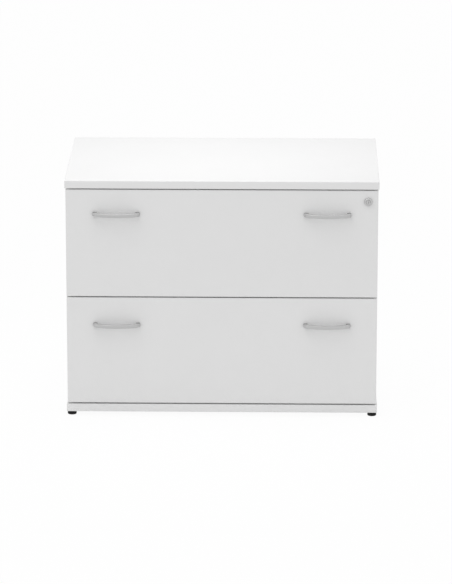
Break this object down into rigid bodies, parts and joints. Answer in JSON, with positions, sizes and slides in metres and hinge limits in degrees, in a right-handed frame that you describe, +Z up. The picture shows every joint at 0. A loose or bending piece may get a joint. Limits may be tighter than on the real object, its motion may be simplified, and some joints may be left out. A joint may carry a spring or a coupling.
{
  "type": "lateral filing cabinet",
  "caption": "White board lateral filing cabinet with full-overlay drawers on ball-bearing runners, silver bow handles, a cam lock with a locking bar, and levelling feet.",
  "frame": {"origin": "on the floor, in the middle of the overall box that includes the handles", "axes": "+X to the right along the width as seen from the front, +Y to the rear, +Z up; the drawers open towards -Y"},
  "size_m": [1, 0.6312, 0.78],
  "materials": {
    "white_board": "white melamine-faced board with matching edging",
    "white_steel": "white powder coat",
    "zinc_plate": "bright zinc plate",
    "satin_silver": "satin silver",
    "nickel": "satin nickel",
    "bar_aluminium": "mill finish",
    "black_plastic": "moulded matt black"
  },
  "bodies": {
    "carcass": {"top_panel": "white_board", "base_panel": "white_board", "left_side_panel": "white_board", "right_side_panel": "white_board", "back_panel": "white_board", "lock_bar_upper_guide": "zinc_plate", "lock_bar_lower_guide": "zinc_plate", "upper_left_runner_outer": "zinc_plate", "upper_right_runner_outer": "zinc_plate", "lower_left_runner_outer": "zinc_plate", "lower_right_runner_outer": "zinc_plate"},
    "upper_drawer": {"upper_drawer_front": "white_board", "upper_drawer_left_side": "white_board", "upper_drawer_right_side": "white_board", "upper_drawer_back": "white_board", "upper_drawer_bottom": "white_board", "upper_front_file_rail": "white_steel", "upper_rear_file_rail": "white_steel", "upper_left_handle": "satin_silver", "upper_right_handle": "satin_silver", "upper_left_runner_inner": "zinc_plate", "upper_right_runner_inner": "zinc_plate", "upper_lock_striker": "zinc_plate", "lock_housing": "nickel", "lock_nut": "zinc_plate"},
    "upper_outer_ball_cages": {"upper_left_runner_outer_ball_cage": "zinc_plate", "upper_right_runner_outer_ball_cage": "zinc_plate"},
    "upper_runner_middles": {"upper_left_runner_middle": "zinc_plate", "upper_right_runner_middle": "zinc_plate"},
    "upper_inner_ball_cages": {"upper_left_runner_inner_ball_cage": "zinc_plate", "upper_right_runner_inner_ball_cage": "zinc_plate"},
    "lower_drawer": {"lower_drawer_front": "white_board", "lower_drawer_left_side": "white_board", "lower_drawer_right_side": "white_board", "lower_drawer_back": "white_board", "lower_drawer_bottom": "white_board", "lower_front_file_rail": "white_steel", "lower_rear_file_rail": "white_steel", "lower_left_handle": "satin_silver", "lower_right_handle": "satin_silver", "lower_left_runner_inner": "zinc_plate", "lower_right_runner_inner": "zinc_plate", "lower_lock_striker": "zinc_plate"},
    "lower_outer_ball_cages": {"lower_left_runner_outer_ball_cage": "zinc_plate", "lower_right_runner_outer_ball_cage": "zinc_plate"},
    "lower_runner_middles": {"lower_left_runner_middle": "zinc_plate", "lower_right_runner_middle": "zinc_plate"},
    "lower_inner_ball_cages": {"lower_left_runner_inner_ball_cage": "zinc_plate", "lower_right_runner_inner_ball_cage": "zinc_plate"},
    "lock_plug": {"lock_plug": "nickel", "lock_cam": "zinc_plate"},
    "lock_bar": {"lock_bar": "bar_aluminium"},
    "front_left_foot": {"front_left_foot_stud": "zinc_plate", "front_left_foot_glide": "black_plastic"},
    "front_right_foot": {"front_right_foot_stud": "zinc_plate", "front_right_foot_glide": "black_plastic"},
    "rear_left_foot": {"rear_left_foot_stud": "zinc_plate", "rear_left_foot_glide": "black_plastic"},
    "rear_right_foot": {"rear_right_foot_stud": "zinc_plate", "rear_right_foot_glide": "black_plastic"}
  },
  "joints": [
    {"name": "upper_drawer_slide", "type": "slide", "parent": "carcass", "child": "upper_drawer", "axis": [0, -1, 0], "range_m": [0, 0.48]},
    {"name": "upper_outer_ball_cages_slide", "type": "slide", "parent": "carcass", "child": "upper_outer_ball_cages", "axis": [0, -1, 0], "range_m": [0, 0.12]},
    {"name": "upper_runner_middles_slide", "type": "slide", "parent": "carcass", "child": "upper_runner_middles", "axis": [0, -1, 0], "range_m": [0, 0.24]},
    {"name": "upper_inner_ball_cages_slide", "type": "slide", "parent": "carcass", "child": "upper_inner_ball_cages", "axis": [0, -1, 0], "range_m": [0, 0.36]},
    {"name": "lower_drawer_slide", "type": "slide", "parent": "carcass", "child": "lower_drawer", "axis": [0, -1, 0], "range_m": [0, 0.48]},
    {"name": "lower_outer_ball_cages_slide", "type": "slide", "parent": "carcass", "child": "lower_outer_ball_cages", "axis": [0, -1, 0], "range_m": [0, 0.12]},
    {"name": "lower_runner_middles_slide", "type": "slide", "parent": "carcass", "child": "lower_runner_middles", "axis": [0, -1, 0], "range_m": [0, 0.24]},
    {"name": "lower_inner_ball_cages_slide", "type": "slide", "parent": "carcass", "child": "lower_inner_ball_cages", "axis": [0, -1, 0], "range_m": [0, 0.36]},
    {"name": "lock_bar_slide", "type": "slide", "parent": "carcass", "child": "lock_bar", "axis": [0, 0, 1], "range_m": [0, 0.00848]},
    {"name": "lock_turn", "type": "hinge", "parent": "upper_drawer", "child": "lock_plug", "pos_m": [0.465, -0.2664, 0.715], "axis": [0, -1, 0], "range_deg": [0, 90]},
    {"name": "front_left_foot_raise", "type": "slide", "parent": "carcass", "child": "front_left_foot", "axis": [0, 0, -1], "range_m": [0, 0.01]},
    {"name": "front_right_foot_raise", "type": "slide", "parent": "carcass", "child": "front_right_foot", "axis": [0, 0, -1], "range_m": [0, 0.01]},
    {"name": "rear_left_foot_raise", "type": "slide", "parent": "carcass", "child": "rear_left_foot", "axis": [0, 0, -1], "range_m": [0, 0.01]},
    {"name": "rear_right_foot_raise", "type": "slide", "parent": "carcass", "child": "rear_right_foot", "axis": [0, 0, -1], "range_m": [0, 0.01]}
  ],
  "couplings": [
    {"joint": "upper_outer_ball_cages_slide", "follows": "upper_drawer_slide", "ratio": 0.25},
    {"joint": "upper_runner_middles_slide", "follows": "upper_drawer_slide", "ratio": 0.5},
    {"joint": "upper_inner_ball_cages_slide", "follows": "upper_drawer_slide", "ratio": 0.75},
    {"joint": "lower_outer_ball_cages_slide", "follows": "lower_drawer_slide", "ratio": 0.25},
    {"joint": "lower_runner_middles_slide", "follows": "lower_drawer_slide", "ratio": 0.5},
    {"joint": "lower_inner_ball_cages_slide", "follows": "lower_drawer_slide", "ratio": 0.75},
    {"joint": "lock_turn", "follows": "lock_bar_slide", "rad_per_m": 185.12}
  ]
}
